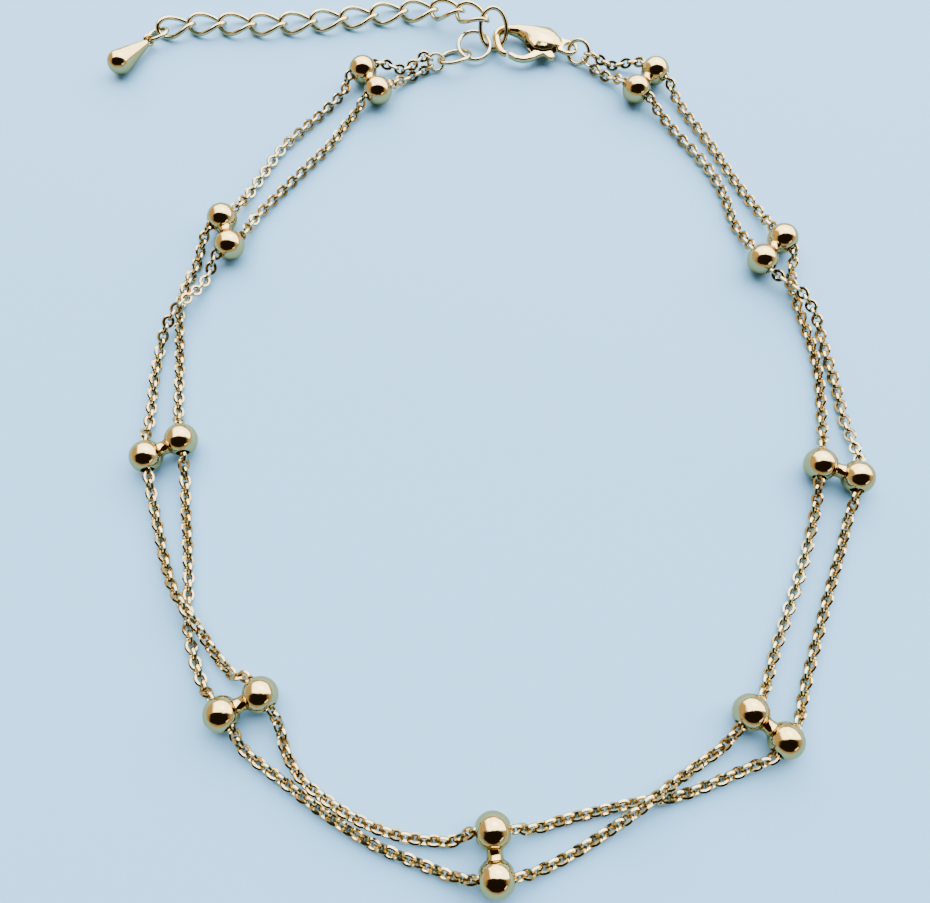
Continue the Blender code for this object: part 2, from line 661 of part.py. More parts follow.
def main():
    clear_scene()
    rings = [
        ring("end_ring", END_RING_RADIUS, END_RING_WIRE, END_RING),
        ring("coupling_ring", COUPLING_RADIUS, COUPLING_WIRE, COUPLING_RING),
        ring("catch_ring", COUPLING_RADIUS, COUPLING_WIRE, CATCH_RING),
        ring("jump_ring", JUMP_RING_RADIUS, JUMP_RING_WIRE, JUMP_RING),
        ring("drop_ring", DROP_RING_RADIUS, DROP_RING_WIRE, DROP_RING),
    ]
    strands = [chain_strand("a", ROUTE_A), chain_strand("b", ROUTE_B)]
    pairs = [bead_pair(number) for number in BEAD_PAIRS]
    objects = strands + pairs + rings + [claw(), claw_lever(), drop()] + extender_links()
    for obj in objects:
        shade(obj)
        give_material(obj, DARKER_GOLD if obj in strands else GOLD)
    settle_on_origin(objects)


main()
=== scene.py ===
"""Looks of the double-strand beaded chain anklet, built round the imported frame.

Every piece is worked out as whole numpy arrays from the same named sizes, routes and poses
as the part's own source, and moved by the shift that one bead pair's place in the frame gives.
"""
import math

import bmesh
import bpy
import numpy as np
from bpy.props import FloatProperty, FloatVectorProperty, IntProperty, PointerProperty
from mathutils import Matrix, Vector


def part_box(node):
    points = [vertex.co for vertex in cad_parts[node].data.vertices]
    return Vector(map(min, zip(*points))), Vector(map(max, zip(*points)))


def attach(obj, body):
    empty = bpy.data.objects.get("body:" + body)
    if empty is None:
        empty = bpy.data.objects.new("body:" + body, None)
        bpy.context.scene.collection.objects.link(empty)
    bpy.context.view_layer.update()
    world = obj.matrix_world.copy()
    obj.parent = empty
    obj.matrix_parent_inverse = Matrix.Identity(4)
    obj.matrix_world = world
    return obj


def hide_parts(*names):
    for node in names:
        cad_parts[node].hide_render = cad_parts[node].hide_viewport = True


bl_info = {
    "name": "Beaded double-strand anklet",
    "version": (1, 0, 0),
    "blender": (4, 5, 0),
    "location": "3D View > Sidebar > Anklet",
    "description": "Builds a double-strand chain anklet with bead pairs, claw and extender",
    "category": "Add Mesh",
}

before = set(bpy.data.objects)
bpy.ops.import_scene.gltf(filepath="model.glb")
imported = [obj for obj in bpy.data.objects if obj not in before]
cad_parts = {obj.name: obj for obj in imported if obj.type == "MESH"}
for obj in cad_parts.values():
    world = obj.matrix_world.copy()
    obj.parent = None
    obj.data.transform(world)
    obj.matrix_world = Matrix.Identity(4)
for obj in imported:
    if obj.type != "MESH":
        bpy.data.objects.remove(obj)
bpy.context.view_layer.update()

MM = 0.001
BODY = "anklet"
LEVER_BODY = "lever"

# Bead pairs in plan: centre x and y in mm, heading from inner to outer bead, lean of the bores
BEAD_PAIRS = {
    1: (-10.50, 43.89, 120.6, 0.0),
    2: (-24.62, 23.85, 107.9, 26.0),
    3: (-28.05, -0.28, 208.9, -16.0),
    4: (-18.76, -23.47, 207.1, 12.0),
    5: (2.35, -35.01, -86.1, 0.0),
    6: (25.17, -25.24, -40.7, 0.0),
    7: (34.49, -2.53, -21.3, 8.0),
    8: (31.40, 21.71, 46.8, -15.0),
    9: (20.08, 43.92, 49.8, 0.0),
}

# Route of strand a in mm, end ring to jump ring; a bead entry gives the pair and its side
ROUTE_A = [
    (-6.9, 46.35, 0.6), (-8.8, 46.55, 1.1), ("bead", 1, "outer"),
    (-13.4, 43.1, 0.9), (-15.2, 40.8, 0.55), (-17.6, 38.0, 0.55), (-20.0, 35.0, 0.55),
    (-21.6, 31.9, 0.55), (-23.0, 28.9, 0.7), ("bead", 2, "outer"),
    (-27.1, 22.8, 0.8), (-27.5, 20.3, 0.55), (-28.3, 17.9, 0.55), (-28.6, 15.6, 0.55),
    (-28.4, 13.2, 0.55), (-28.0, 10.0, 0.55), (-27.7, 6.6, 0.55), (-27.3, 3.3, 0.8),
    ("bead", 3, "inner"),
    (-26.0, -2.9, 0.8), (-25.6, -6.0, 0.55), (-25.0, -9.8, 0.55), (-24.6, -13.0, 0.55),
    (-24.3, -16.2, 0.55), (-23.5, -19.2, 0.55), (-22.3, -21.8, 0.85), ("bead", 4, "outer"),
    (-18.6, -26.8, 0.8), (-17.2, -28.0, 0.55), (-14.73, -29.68, 0.55), (-11.9, -31.64, 0.55),
    (-9.5, -33.14, 0.55), (-6.93, -34.47, 0.55), (-3.9, -35.6, 0.55), (-1.0, -36.6, 0.8),
    ("bead", 5, "outer"),
    (5.9, -36.2, 0.75), (8.6, -35.0, 0.55), (11.4, -33.4, 0.7), (13.3, -32.2, 1.4),
    (15.0, -31.0, 1.95), (16.8, -29.8, 1.4), (19.0, -28.4, 0.55), (21.3, -26.9, 0.8),
    ("bead", 6, "inner"),
    (25.8, -21.3, 0.8), (26.9, -18.7, 0.55), (28.5, -15.2, 0.55), (30.1, -11.6, 0.55),
    (31.4, -8.2, 0.55), (32.3, -5.2, 0.85), ("bead", 7, "inner"),
    (33.8, 1.5, 0.75), (34.15, 4.2, 0.55), (34.4, 7.6, 0.55), (34.2, 10.9, 0.55),
    (33.7, 13.8, 0.55), (33.35, 16.4, 0.55), (33.2, 19.4, 0.8), ("bead", 8, "outer"),
    (31.2, 26.1, 0.8), (30.1, 28.4, 0.55), (28.5, 31.6, 0.55), (27.1, 34.8, 0.55),
    (25.6, 37.8, 0.55), (24.1, 40.7, 0.55), (23.1, 42.9, 0.9), ("bead", 9, "outer"),
    (18.4, 46.9, 1.0), (16.5, 46.8, 0.7),
]

# Route of strand b in mm, lying on strand a where the two cross
ROUTE_B = [
    (-6.5, 44.95, 0.6), (-7.6, 44.2, 1.0), ("bead", 1, "inner"),
    (-11.6, 40.7, 0.9), (-13.5, 37.8, 0.55), (-14.6, 35.8, 0.55), (-17.4, 32.2, 0.55),
    (-20.1, 28.7, 0.55), (-22.1, 25.7, 0.8), ("bead", 2, "inner"),
    (-26.0, 19.4, 0.8), (-26.7, 17.7, 0.85), (-27.5, 16.2, 1.5), (-28.5, 14.4, 1.98),
    (-29.5, 12.7, 1.3), (-30.0, 10.7, 0.55), (-30.2, 7.6, 0.55), (-30.1, 4.6, 0.55),
    (-30.0, 1.9, 0.9), ("bead", 3, "outer"),
    (-28.8, -4.9, 0.75), (-28.0, -7.6, 0.55), (-27.0, -10.7, 0.6), (-25.8, -13.3, 1.35),
    (-24.45, -15.3, 1.9), (-23.1, -17.0, 1.35), (-21.7, -19.0, 0.55), (-19.7, -21.0, 0.9),
    ("bead", 4, "inner"),
    (-15.5, -25.3, 0.8), (-14.9, -27.2, 0.55), (-13.45, -29.3, 0.9), (-11.29, -30.95, 1.15),
    (-8.69, -32.45, 1.1), (-5.77, -33.52, 0.85), (-3.0, -34.0, 0.55), (-0.8, -34.0, 0.8),
    ("bead", 5, "inner"),
    (5.6, -33.1, 0.75), (8.2, -32.4, 0.55), (11.3, -31.7, 0.55), (14.2, -31.1, 0.55),
    (17.2, -30.7, 0.55), (20.3, -29.7, 0.55), (23.6, -28.4, 0.8), ("bead", 6, "outer"),
    (28.4, -23.5, 0.8), (29.4, -20.9, 0.55), (30.9, -17.1, 0.55), (32.4, -13.4, 0.55),
    (33.9, -9.8, 0.55), (35.1, -6.5, 0.85), ("bead", 7, "outer"),
    (36.6, 0.3, 0.8), (36.15, 3.0, 0.55), (35.95, 6.0, 0.55), (35.6, 9.0, 0.55),
    (35.25, 11.8, 0.65), (34.7, 14.3, 1.3), (33.55, 16.3, 1.9), (32.2, 17.9, 1.55),
    ("bead", 8, "inner"),
    (28.9, 23.5, 0.8), (28.1, 25.6, 0.55), (27.6, 28.3, 0.55), (26.7, 31.3, 0.55),
    (25.2, 34.2, 0.55), (23.3, 37.0, 0.55), (21.4, 39.9, 0.85), ("bead", 9, "inner"),
    (16.9, 44.6, 1.0), (15.7, 45.3, 0.7),
]

# Extender links 1 to 11: centre in mm and the way the long axis points
EXTENDER = [
    ((-33.3, 52.6, 0.78), (1.0, 0.22, 0.0)),
    ((-29.81, 53.01, 0.78), (1.0, 0.05, 0.0)),
    ((-26.29, 52.96, 0.78), (1.0, -0.01, 0.0)),
    ((-22.77, 52.96, 0.78), (1.0, 0.04, 0.0)),
    ((-19.26, 53.22, 0.78), (1.0, 0.1, 0.0)),
    ((-15.76, 53.63, 0.78), (1.0, 0.13, 0.0)),
    ((-12.28, 54.1, 0.78), (1.0, 0.15, 0.0)),
    ((-8.82, 54.74, 0.76), (1.0, 0.16, 0.0)),
    ((-5.34, 54.93, 0.9), (0.95, -0.01, 0.08)),
    ((-2.1, 54.15, 1.7), (0.88, -0.38, 0.28)),
    ((0.8, 52.51, 2.55), (0.8, -0.58, 0.15)),
]
CLASPED_LINK = ((3.23, 51.09, 1.9), (-0.07, 0.65, 0.76), (0.15, -0.75, 0.65))

# Rings: centre in mm, in-plane axis, normal, centreline radius, wire and where the cut faces
RINGS = {
    "end_ring": ((-3.27, 47.06, 0.97), (0.98, 0.18, -0.11), (0.21, -0.78, 0.59), 0.9, 0.35, 95.0),
    "coupling_ring": ((-1.22, 47.76, 1.05), (0.98, 0.18, 0.11), (-0.18, 0.42, 0.89), 1.8, 0.45,
                      250.0),
    "catch_ring": ((1.06, 49.52, 0.99), (0.92, -0.38, -0.1), (0.03, -0.18, 0.98), 1.8, 0.45, 80.0),
    "jump_ring": ((12.83, 48.3, 1.24), (0.88, -0.35, 0.33), (-0.48, -0.64, 0.6), 1.25, 0.45, 60.0),
    "drop_ring": ((-35.36, 51.36, 0.83), (0.92, -0.17, 0.35), (-0.28, 0.34, 0.9), 1.3, 0.45, 100.0),
}
END_RING_ANGLES = {"a": 148.0, "b": 212.0}
JUMP_RING_ANGLES = {"a": -10.0, "b": -48.0}

# Strand ends and bores in mm
END_LOOP_RADIUS = 0.5
END_LOOP_WIRE = 0.3
END_LOOP_SHIFT = 0.06
BEAD_HEIGHT = 1.55
BEAD_PITCH = 3.48
BORE_RUN = 1.75

# Drop: centre of its wide end, where it narrows to its eye, and the eye's ring, in mm
DROP_WIDE = (-38.8, 46.7, 1.35)
DROP_NARROW = (-36.3, 49.92, 0.97)
DROP_EYE = ((-36.1, 50.3, 1.0), (0.5, 0.85, 0.1), (0.75, -0.45, 0.4))
DROP_RADIUS = 1.35
DROP_TIP_RADIUS = 0.42
EYE_RADIUS = 0.5
EYE_WIRE = 0.4

# How finely the meshes are worked out
ROUTE_STEPS = 24
LOOP_POINTS = 24
LOOP_SIDES = 8
BALL_POINTS = 27
BORE_POINTS = 6
NECK_POINTS = 17
RING_POINTS = 73
LINK_POINTS = 60
WIRE_SIDES = 14
EYE_POINTS = 36
EYE_SIDES = 12
DROP_SIDES = 40
DROP_BALL_POINTS = 22
DROP_FLANK_POINTS = 16
DROP_TIP_POINTS = 7
POLE_MERGE = 1e-8
NODE_MERGE = 1e-6
SHARP_ANGLE = math.radians(50.0)

# Chain: how far to either side its tangent is read, how its lean wanders, and random seeds
TANGENT_REACH = 0.15
WANDER_LENGTHS = (5.3, 2.9, 11.0)
CHAIN_SEEDS = {"a": 11, "b": 23}

# Solder neck in mm: how far it runs into a bead, and how much wider it is there
NECK_RUN = 0.33
NECK_FLARE = 0.16

# Plating: tone of a neck, which is painted shade between the beads, tones of the lighter and darker
# links, features to the metre
NECK_PAINTED_SHADE = 0.9
LINK_TONES = (0.3, 0.7)
PATCH_SCALE = 420.0
POLISH_SCALE = 900.0
MARK_SCALE = 2600.0
MARK_STRETCH = (1.0, 0.25, 1.0)
MARK_STRENGTH = 0.12
MARK_DEPTH = 0.02 * MM
# Height of its shallow dents against its fine marks
DENTS = 18.0

# Which gold each kind of piece has, how much rougher it is, and how unevenly it is worn
CHAIN_FINISH = ("chain_gold", 0.05, 0.06)
BEAD_FINISH = ("gold", -0.03, 0.03)
RING_FINISH = ("link_gold", 0.02, 0.05)
LINK_FINISH = ("link_gold", 0.03, 0.06)
CAST_FINISH = ("gold", 0.03, 0.06)
DROP_FINISH = ("gold", -0.01, 0.04)

# Camera fitted to the photograph: it aims at the plan's origin
IMAGE_WIDTH = 930
FOCAL_PIXELS = 928.9
SENSOR_WIDTH = 36.0

# Bead pair whose box in the frame shows how far the plan was moved
REFERENCE_PAIR = 5

# Light from the room round the stage: a wide window, the walls round it, and the dark side
WINDOW_LIGHT = (12.0, 11.9, 11.7, 1.0)
PALE_WALL = (1.3, 1.1, 0.85, 1.0)
WARM_WALL = (1.45, 1.05, 0.55, 1.0)
DARK_ROOM = (0.03, 0.02, 0.012, 1.0)
TAN_ROOM = (1.15, 0.95, 0.6, 1.0)

# Where each part of the room begins and is full, in parts of a direction of length 1, and
# how much further the lit half reaches on either side
WARM_EDGE = (-0.35, -0.8)
WINDOW_LEFT_EDGE = (-0.72, -0.5)
WINDOW_NEAR_EDGE = (0.0, 0.1)
WINDOW_LOW_EDGE = (0.1, 0.25)
DARK_SIDE_EDGES = (0.95, 0.55)
DARK_LOW_EDGE = (0.13, 0.3)
LIT_EDGE = (-0.02, 0.14)
LIT_BEND = 0.2

# Panels of light in metres: size, place and colour
WINDOW_PANEL = ((0.5, 0.4), (0.2, 0.55, 0.75), (1.0, 1.0, 1.0))
SIDE_PANEL = ((0.34, 0.12), (0.61, -0.59, 0.26), (1.0, 0.98, 0.95))
FLOOR_REACH = 1.5
FLOOR_ROUGHNESS = 0.7
CLIP_END = 10.0

# Sockets of a colour Mix node
MIX_FACTOR, MIX_A, MIX_B, MIX_RESULT = 0, 6, 7, 2


class ChainSettings(bpy.types.PropertyGroup):
    """Sizes of the fine cable chain."""

    wire: FloatProperty(name="Wire", description="Thickness of a chain link's wire",
                        default=0.34 * MM, unit="LENGTH")
    length: FloatProperty(name="Link length", description="Outer length of a chain link",
                          default=1.46 * MM, unit="LENGTH")
    width: FloatProperty(name="Link width", description="Outer width of a chain link",
                         default=1.22 * MM, unit="LENGTH")
    pitch: FloatProperty(name="Pitch", description="Distance from one link to the next",
                         default=0.77 * MM, unit="LENGTH")
    roll: FloatProperty(name="Roll", description="How far the flat links lean from the floor",
                        default=math.radians(44.0), subtype="ANGLE")
    roll_drift: FloatProperty(name="Roll drift", description="How far that lean wanders",
                              default=math.radians(14.0), subtype="ANGLE")
    squeeze: FloatProperty(name="Squeeze", description="Share of width lost inside a bore",
                           default=0.14, subtype="FACTOR")
    around: IntProperty(name="Points round a link", description="Mesh points along its wire",
                        default=14)
    sides: IntProperty(name="Sides of the wire", description="Mesh sides of its wire", default=6)


class BeadSettings(bpy.types.PropertyGroup):
    """Sizes of the soldered bead pairs."""

    diameter: FloatProperty(name="Bead", description="Diameter of a bead", default=3.1 * MM,
                            unit="LENGTH")
    bore: FloatProperty(name="Bore", description="Diameter of its drilled hole",
                        default=1.2 * MM, unit="LENGTH")
    mouth: FloatProperty(name="Mouth rounding", description="Radius of the hole's rounded edge",
                         default=0.07 * MM, unit="LENGTH")
    neck: FloatProperty(name="Neck", description="Thinnest diameter of the solder neck",
                        default=1.3 * MM, unit="LENGTH")
    sides: IntProperty(name="Sides", description="Mesh sides round the bore", default=48)


class WireSettings(bpy.types.PropertyGroup):
    """Sizes of the rings and of the extender's twisted links."""

    link_wire: FloatProperty(name="Link wire", description="Wire of the extender's links",
                             default=0.5 * MM, unit="LENGTH")
    half_length: FloatProperty(name="Half length", description="Centreline half length of a link",
                               default=2.09 * MM, unit="LENGTH")
    half_width: FloatProperty(name="Half width", description="Centreline half width of a link",
                              default=1.3 * MM, unit="LENGTH")
    twist: FloatProperty(name="Twist", description="Turn of one end of a link against the other",
                         default=math.radians(-90.0), subtype="ANGLE")
    clasped_half_length: FloatProperty(name="Clasped half length",
                                       description="Half length of the link in the claw",
                                       default=2.15 * MM, unit="LENGTH")
    clasped_half_width: FloatProperty(name="Clasped half width",
                                      description="Half width of the link in the claw",
                                      default=1.5 * MM, unit="LENGTH")
    cut: FloatProperty(name="Cut", description="Gap where a ring's wire ends meet",
                       default=0.05 * MM, unit="LENGTH")


class ClawSettings(bpy.types.PropertyGroup):
    """How the cast claw and its lever are rounded off."""

    voxel: FloatProperty(name="Grid", description="Mesh size of the casting",
                         default=0.06 * MM, unit="LENGTH")
    rounding: IntProperty(name="Rounding", description="Smoothing passes over its edges",
                          default=10)


class MetalSettings(bpy.types.PropertyGroup):
    """Colours of the gold plating."""

    gold: FloatVectorProperty(name="Gold", description="Colour of the plating", subtype="COLOR",
                              default=(0.46, 0.36, 0.165))
    # Deep colour: the plating's warmer patches, and the painted shade on the solder neck
    deep: FloatVectorProperty(name="Deep", description="Share of each colour left where the "
                              "plating is warmer", subtype="COLOR", default=(0.9, 0.8, 0.62))
    chain_gold: FloatVectorProperty(name="Chain gold", description="Colour of the fine chain",
                                    subtype="COLOR", default=(0.425, 0.35, 0.19))
    link_gold: FloatVectorProperty(name="Link gold", description="Colour of rings and links",
                                   subtype="COLOR", default=(0.48, 0.42, 0.25))
    edge: FloatVectorProperty(name="Edge", description="Tint of reflections at its turned-away "
                              "edges", subtype="COLOR", default=(1.0, 0.8, 0.6))
    roughness: FloatProperty(name="Roughness", description="Blur of its reflections",
                             default=0.09, subtype="FACTOR")


class StageSettings(bpy.types.PropertyGroup):
    """Floor, lights and camera."""

    floor: FloatVectorProperty(name="Floor", description="Colour of the floor", subtype="COLOR",
                               default=(0.14, 0.345, 0.57))
    window_power: FloatProperty(name="Window", description="Power of the window light",
                                default=3.0, unit="POWER")
    fill_power: FloatProperty(name="Fill", description="Power of the small side light",
                              default=0.5, unit="POWER")
    elevation: FloatProperty(name="Elevation", description="Camera's angle above the floor",
                             default=math.radians(67.83), subtype="ANGLE")
    distance: FloatProperty(name="Distance", description="Camera's distance from its target",
                            default=87.99 * MM, unit="LENGTH")


class AnkletSettings(bpy.types.PropertyGroup):
    """All the sizes and colours of the anklet."""

    chain: PointerProperty(type=ChainSettings)
    beads: PointerProperty(type=BeadSettings)
    wires: PointerProperty(type=WireSettings)
    claw: PointerProperty(type=ClawSettings)
    metal: PointerProperty(type=MetalSettings)
    stage: PointerProperty(type=StageSettings)


def frame_shift():
    """Vector from the plan's origin to the frame's, read from the reference bead pair's box."""
    low, high = (np.array(corner, dtype=float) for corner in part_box(f"bead_pair_{REFERENCE_PAIR}"))
    x, y = BEAD_PAIRS[REFERENCE_PAIR][:2]
    return (low + high) / 2 - np.array([x, y, BEAD_HEIGHT]) * MM


SHIFT = frame_shift()


def unit(vectors):
    """Vectors divided by their lengths, along the last axis."""
    vectors = np.asarray(vectors, dtype=float)
    return vectors / np.linalg.norm(vectors, axis=-1, keepdims=True)


def axes_of(axis, normal):
    """Three unit columns: the axis, the one across it, and the normal made square to it."""
    x_axis = unit(axis)
    z_axis = np.asarray(normal, dtype=float)
    z_axis = unit(z_axis - z_axis.dot(x_axis) * x_axis)
    return np.stack([x_axis, np.cross(z_axis, x_axis), z_axis], axis=1)


def placed(points, centre_mm, axes):
    """Local points turned by three axes and moved to a plan centre in mm."""
    return points @ axes.T + np.array(centre_mm) * MM + SHIFT


def grid_faces(rows, columns, closed_rows, closed_columns):
    """Quads between neighbouring points of a rows by columns grid, wrapped where it closes."""
    row = np.arange(rows if closed_rows else rows - 1)[:, None]
    column = np.arange(columns if closed_columns else columns - 1)[None, :]
    next_row, next_column = (row + 1) % rows, (column + 1) % columns
    quads = np.stack([row * columns + column, next_row * columns + column,
                      next_row * columns + next_column, row * columns + next_column], axis=-1)
    return quads.reshape(-1, 4)


def swept_circle(centreline, radius, sides):
    """Circle of the radius carried along a closed centreline.

    The circle's first axis is the way from the middle of the centreline, made square to the
    tangent; its second is square to both.
    """
    tangent = unit(np.roll(centreline, -1, axis=0) - np.roll(centreline, 1, axis=0))
    outward = centreline - centreline.mean(axis=0)
    outward = unit(outward - (outward * tangent).sum(axis=1, keepdims=True) * tangent)
    across = np.cross(tangent, outward)
    turn = np.linspace(0.0, 2 * math.pi, sides, endpoint=False)
    circle = (np.cos(turn)[None, :, None] * outward[:, None]
              + np.sin(turn)[None, :, None] * across[:, None])
    return centreline[:, None] + radius * circle


def oval(half_length, half_width, twist, count):
    """Oval centreline whose plane turns by half the twist either way from end to end."""
    turn = np.linspace(0.0, 2 * math.pi, count, endpoint=False)
    lean = twist / 2 * np.cos(turn)
    across = half_width * np.sin(turn)
    return np.stack([half_length * np.cos(turn), across * np.cos(lean), across * np.sin(lean)],
                    axis=1)


def turned(profile, sides, closed):
    """Profile of (along X, radius) points spun round X; a closed one joins last to first."""
    turn = np.linspace(0.0, 2 * math.pi, sides, endpoint=False)
    points = np.stack([np.repeat(profile[:, :1], sides, axis=1),
                       profile[:, 1:] * np.cos(turn), profile[:, 1:] * np.sin(turn)], axis=-1)
    return points.reshape(-1, 3), grid_faces(len(profile), sides, closed, True)


class Shell:
    """Collects grids of points and faces that become one mesh."""

    def __init__(self):
        self.points = []
        self.faces = []
        self.tones = []
        self.count = 0

    def add(self, points, faces, tone=0.5):
        points = np.asarray(points).reshape(-1, 3)
        self.points.append(points)
        self.faces.append(faces + self.count)
        self.tones.append(np.broadcast_to(tone, len(points)))
        self.count += len(points)

    def build(self, name, replaced):
        """Make the mesh object, close its poles, hang it on the body and hide the node it stands
        for.
        """
        points = np.concatenate(self.points)
        faces = np.concatenate(self.faces)
        mesh = bpy.data.meshes.new(name)
        mesh.from_pydata(points.tolist(), [], faces.tolist())
        tone = mesh.attributes.new("tone", "FLOAT", "POINT")
        tone.data.foreach_set("value", np.concatenate(self.tones).astype(np.float32))
        bm = bmesh.new()
        bm.from_mesh(mesh)
        bmesh.ops.remove_doubles(bm, verts=bm.verts, dist=POLE_MERGE)
        bmesh.ops.recalc_face_normals(bm, faces=bm.faces)
        bm.to_mesh(mesh)
        bm.free()
        mesh.shade_smooth()
        mesh.set_sharp_from_angle(angle=SHARP_ANGLE)
        obj = bpy.data.objects.new(name, mesh)
        bpy.context.collection.objects.link(obj)
        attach(obj, BODY)
        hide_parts(replaced)
        return obj


class Value:
    """A node socket in an expression: its sums and products add Math nodes."""

    def __init__(self, maker, socket):
        self.maker = maker
        self.socket = socket

    def math(self, operation, other):
        return self.maker.node("ShaderNodeMath", {"operation": operation}, {0: self, 1: other})

    def __add__(self, other):
        return self.math("ADD", other)

    def __mul__(self, other):
        return self.math("MULTIPLY", other)


class Maker:
    """Adds nodes to the tree of one material or world."""

    def __init__(self, owner):
        owner.use_nodes = True
        self.owner = owner
        self.tree = owner.node_tree
        self.shader = next(node for node in self.tree.nodes
                           if node.type in {"BSDF_PRINCIPLED", "BACKGROUND"})

    def node(self, kind, options=None, inputs=None, output=0):
        """A node of a kind, its options set first, then its sockets' values or links."""
        made = self.tree.nodes.new(kind)
        for name, value in (options or {}).items():
            setattr(made, name, value)
        for key, value in (inputs or {}).items():
            self.feed(made.inputs[key], value)
        return Value(self, made.outputs[output])

    def feed(self, socket, value):
        if isinstance(value, Value):
            self.tree.links.new(value.socket, socket)
        else:
            socket.default_value = value

    def mix(self, factor, first, second):
        """Colour between two colours."""
        return self.node("ShaderNodeMix", {"data_type": "RGBA"},
                         {MIX_FACTOR: factor, MIX_A: first, MIX_B: second}, MIX_RESULT)

    def ease(self, value, start, end):
        """Smooth step from 0 where the value is at the start to 1 where it is at the end."""
        return self.node("ShaderNodeMapRange", {"interpolation_type": "SMOOTHSTEP"},
                         {"Value": value, "From Min": start, "From Max": end}, "Result")

    def noise(self, per_metre, detail=2.0, stretch=(1.0, 1.0, 1.0)):
        """Noise on Object coordinates, with so many features to the metre."""
        place = self.node("ShaderNodeTexCoord", output="Object")
        place = self.node("ShaderNodeMapping", {}, {"Vector": place, "Scale": stretch})
        return self.node("ShaderNodeTexNoise", {},
                         {"Vector": place, "Scale": per_metre, "Detail": detail}, "Fac")


def rgba(colour):
    return (*colour, 1.0)


def gold_finish(name, colour, deep, roughness, wear):
    """Polished plating: patches of warmer tone joined with each mesh's tone, which on the solder
    neck is painted shade, uneven polish, fine handling marks, and shallow dents that make its
    reflections waver."""
    maker = Maker(bpy.data.materials.new(name))
    patches = maker.noise(PATCH_SCALE)
    tone = maker.node("ShaderNodeAttribute", {"attribute_name": "tone"}, output="Fac")
    # Random warm patches mixed with the mesh's tone; the neck's tone is painted shade between the
    # beads
    warmth_and_painted_shade = patches * 0.5 + tone * 0.5
    maker.feed(maker.shader.inputs["Base Color"], maker.mix(warmth_and_painted_shade, rgba(colour), rgba(deep)))
    maker.feed(maker.shader.inputs["Metallic"], 1.0)
    maker.feed(maker.shader.inputs["Specular Tint"], rgba(settings().metal.edge))
    polish = maker.noise(POLISH_SCALE, 3.0)
    maker.feed(maker.shader.inputs["Roughness"], polish * wear + (roughness - wear / 2))
    marks = maker.noise(MARK_SCALE, 4.0, MARK_STRETCH)
    bump = maker.node("ShaderNodeBump", {}, {"Strength": MARK_STRENGTH, "Distance": MARK_DEPTH,
                                             "Height": marks + polish * DENTS}, "Normal")
    maker.feed(maker.shader.inputs["Normal"], bump)
    return maker.owner


def settings():
    return bpy.context.scene.anklet


def metal(name, colour, rougher, wear):
    """The piece's own plating in one of the settings' colours."""
    plating = settings().metal
    pale = tuple(getattr(plating, colour))
    deep = tuple(value * share for value, share in zip(pale, plating.deep))
    return gold_finish(name, pale, deep, plating.roughness + rougher, wear)


def bead_run(number, side):
    """Where a strand enters and leaves a bead: two points on the axis of its bore, in mm."""
    x, y, heading, lean = BEAD_PAIRS[number]
    turn = math.radians(heading)
    reach = BEAD_PITCH / 2 if side == "outer" else -BEAD_PITCH / 2
    centre = np.array([x + reach * math.cos(turn), y + reach * math.sin(turn), BEAD_HEIGHT])
    bore = math.radians(heading + lean) + math.pi / 2
    along = np.array([math.cos(bore), math.sin(bore), 0.0]) * BORE_RUN
    return centre - along, centre + along


def loop_on_ring(ring_name, angle):
    """Centre, outward way and axis of the small loop by which a strand hangs on a ring."""
    centre, axis, normal, radius = RINGS[ring_name][:4]
    axes = axes_of(axis, normal)
    turn = math.radians(angle)
    outward = axes @ np.array([math.cos(turn), math.sin(turn), 0.0])
    tangent = axes @ np.array([-math.sin(turn), math.cos(turn), 0.0])
    return np.array(centre) + outward * (radius + END_LOOP_SHIFT), outward, tangent


def route_points(route, letter):
    """Control points of a strand in mm, bead entries turned into the ends of their bores."""
    start, outward, _ = loop_on_ring("end_ring", END_RING_ANGLES[letter])
    points = [start + outward * END_LOOP_RADIUS]
    for entry in route:
        if entry[0] == "bead":
            first, second = bead_run(entry[1], entry[2])
            if np.linalg.norm(second - points[-1]) < np.linalg.norm(first - points[-1]):
                first, second = second, first
            points.extend([first, second])
        else:
            points.append(np.array(entry))
    end, outward, _ = loop_on_ring("jump_ring", JUMP_RING_ANGLES[letter])
    points.append(end + outward * END_LOOP_RADIUS)
    return np.array(points)


def smooth_route(points):
    """Centripetal spline: each stretch is a cubic whose end slopes weigh its neighbours
    by the square roots of their distances. All stretches are worked out at once."""
    before = np.vstack([2 * points[:1] - points[1:2], points[:-2]])
    here, there = points[:-1], points[1:]
    after = np.vstack([points[2:], 2 * points[-1:] - points[-2:-1]])
    gap_before, gap, gap_after = (np.sqrt(np.linalg.norm(b - a, axis=1))[:, None]
                                  for a, b in ((before, here), (here, there), (there, after)))
    leaving = gap * ((here - before) / gap_before - (there - before) / (gap_before + gap)
                     + (there - here) / gap)
    arriving = gap * ((there - here) / gap - (after - here) / (gap + gap_after)
                      + (after - there) / gap_after)
    t = np.linspace(0.0, 1.0, ROUTE_STEPS, endpoint=False)[None, :, None]
    fine = ((2 * t ** 3 - 3 * t ** 2 + 1) * here[:, None] + (t ** 3 - 2 * t ** 2 + t)
            * leaving[:, None] + (3 * t ** 2 - 2 * t ** 3) * there[:, None]
            + (t ** 3 - t ** 2) * arriving[:, None])
    return np.vstack([fine.reshape(-1, 3), points[-1:]])


def along_route(fine, places):
    """Points and tangents of a fine route at given distances from its start."""
    lengths = np.concatenate([[0.0], np.cumsum(np.linalg.norm(np.diff(fine, axis=0), axis=1))])
    at = [np.stack([np.interp(places + step, lengths, fine[:, axis]) for axis in range(3)], axis=1)
          for step in (-TANGENT_REACH, 0.0, TANGENT_REACH)]
    return at[1], unit(at[2] - at[0])


def route_length(fine):
    return float(np.linalg.norm(np.diff(fine, axis=0), axis=1).sum())


